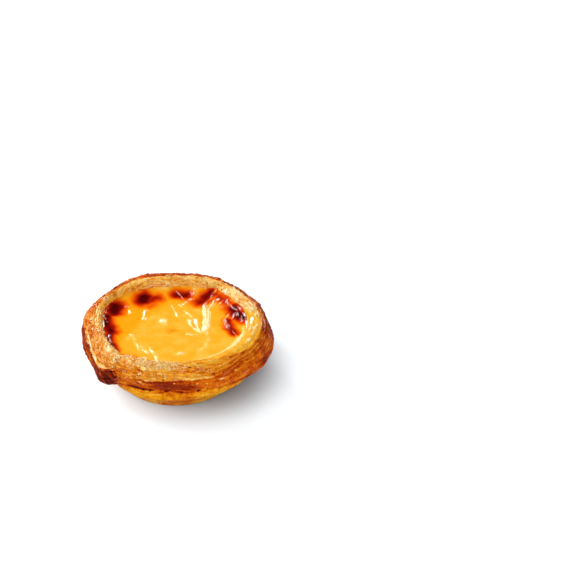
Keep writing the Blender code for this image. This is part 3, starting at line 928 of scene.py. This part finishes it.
def bakedCustard():
    finish = Finish("bakedCustard")
    scorch, toast = finish.attribute("scorch"), finish.attribute("toast")
    place = finish.place()
    cloudy = finish.noise(place, 240.0, 3.0)
    fine = finish.noise(place, 1500.0, 3.0)
    depth = finish.maths("MULTIPLY_ADD", cloudy, 0.24, finish.maths("SUBTRACT", toast, 0.12))
    yellow = finish.ramp(depth, [
        (0.0, colour(248, 208, 142)), (0.14, colour(238, 176, 72)), (0.3, colour(232, 158, 34)),
        (0.5, colour(226, 146, 10)), (0.75, colour(220, 126, 0)), (1.0, colour(204, 92, 0))])
    burn = finish.maths("MULTIPLY_ADD", cloudy, 0.2, finish.maths("SUBTRACT", scorch, 0.1))
    burnt = finish.ramp(burn, [
        (0.0, colour(236, 140, 0)), (0.22, colour(224, 104, 0)), (0.42, colour(194, 54, 0)),
        (0.6, colour(152, 20, 0)), (0.78, colour(114, 5, 0)), (1.0, colour(72, 0, 0))])
    share = finish.between(burn, 0.02, 0.25)
    finish.set(finish.shader, "Base Color", finish.mix(share, yellow, burnt))
    finish.set(finish.shader, "Roughness", 0.035)
    finish.set(finish.shader, "Specular IOR Level", 0.3)
    rough = finish.bump(fine, 0.00004)
    finish.set(finish.shader, "Normal", finish.bump(cloudy, 0.0001, rough))
    return finish.material


def dress(piece, finish):
    piece.data.materials.clear()
    piece.data.materials.append(finish)


pastryFinish = bakedPastry()
for piece in (pastryRim, pastryCrumbs, pastryCup):
    dress(piece, pastryFinish)
    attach(piece, "root")
    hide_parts("pastry_shell")
dress(custardTop, bakedCustard())
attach(custardTop, "root")
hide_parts("custard_filling")
print("baked the pastry and the custard")


# Table, light and camera

studio = {
    "floorSize": 6.0,
    "floorDrop": 0.0002,
    "roomLight": 0.36,
    "roomShine": 0.04,     # what gloss mirrors of the room, which is darker than the softboxes
    "albedo": (0.33, 0.36, 0.385, 1.0),
    "paintedShadowAt": (0.0103, 0.0011, 0.0),   # painted shadow: the floor's glow is least round here
    "glowAroundPaintedShadow": ((0.0212, 0.0456, 0.0, 0.7), (0.1, 0.6, 0.0, 0.3)),  # floor emission that paints a shadow round the tart and glows white further out: distances in m, and how bright there
    # name: (place, width and height, power)
    "softboxes": {
        "key": ((-0.5, 0.24, 0.62), (0.26, 0.26), 2.9),
        "fill": ((0.12, -0.68, 0.5), (0.5, 0.4), 5.2),
        "stripLeft": ((-0.3, 0.64, 0.38), (0.1, 0.26), 3.0),
        "stripRight": ((0.21, 0.66, 0.4), (0.06, 0.2), 1.1),
        "stripSide": ((-0.58, 0.38, 0.38), (0.08, 0.26), 1.8),
    },
}


def makeFloor():
    deselectAll()
    bpy.ops.mesh.primitive_plane_add(size=studio["floorSize"], location=(0, 0, -studio["floorDrop"]))
    floor = justAdded("tableTop")
    bpy.ops.object.transform_apply(location=True, rotation=True, scale=True)
    finish = Finish("whiteTable")
    finish.set(finish.shader, "Base Color", studio["albedo"])
    finish.set(finish.shader, "Roughness", 0.9)
    finish.set(finish.shader, "Specular IOR Level", 0.0)
    finish.set(finish.shader, "Emission Color", (1.0, 1.0, 1.0, 1.0))
    # Painted shadow: the floor glows less near the tart and more further out, so a shadow is painted round it
    away = finish.nodes.new("ShaderNodeVectorMath")
    away.operation = "DISTANCE"
    finish.set(away, 0, finish.place())
    finish.set(away, 1, studio["paintedShadowAt"])
    shadowRings = [finish.between(away.outputs["Value"], *ring) for ring in studio["glowAroundPaintedShadow"]]
    finish.set(finish.shader, "Emission Strength", finish.maths("ADD", *shadowRings))
    dress(floor, finish.material)


def addSoftbox(name, place, size, power):
    deselectAll()
    bpy.ops.object.light_add(type="AREA", location=place)
    lamp = bpy.context.view_layer.objects.active
    lamp.name = name
    lamp.rotation_euler = Vector(place).to_track_quat("Z", "Y").to_euler()
    lamp.data.shape = "RECTANGLE"
    lamp.data.size, lamp.data.size_y = size
    lamp.data.energy = power
    return lamp


def makeRoom():
    world = bpy.data.worlds.new("softRoom")
    world.use_nodes = True
    bpy.context.scene.world = world
    nodes, links = world.node_tree.nodes, world.node_tree.links

    def wall(strength):
        background = nodes.new("ShaderNodeBackground")
        background.inputs["Color"].default_value = (1.0, 1.0, 1.0, 1.0)
        background.inputs["Strength"].default_value = strength
        return background.outputs[0]

    def blend(share, first, second):
        mixed = nodes.new("ShaderNodeMixShader")
        for socket, output in enumerate((share, first, second)):
            links.new(output, mixed.inputs[socket])
        return mixed.outputs[0]

    path = nodes.new("ShaderNodeLightPath")
    lit = blend(path.outputs["Is Glossy Ray"], wall(studio["roomLight"]), wall(studio["roomShine"]))
    links.new(blend(path.outputs["Is Camera Ray"], lit, wall(1.0)), nodes["World Output"].inputs["Surface"])


def makeCamera():
    deselectAll()
    bpy.ops.object.camera_add(location=(0.046369, -0.470030, 0.356403), rotation=(math.radians(56.4), 0, 0))
    camera = bpy.context.view_layer.objects.active
    camera.name = "tableView"
    camera.data.lens = 85.0
    camera.data.sensor_width = 36.0
    camera.data.clip_start = 0.01
    bpy.context.scene.camera = camera


makeFloor()
for name, (place, size, power) in studio["softboxes"].items():
    addSoftbox(name, place, size, power)
makeRoom()
makeCamera()
bpy.context.scene.view_settings.view_transform = "Standard"
print("lit the table")
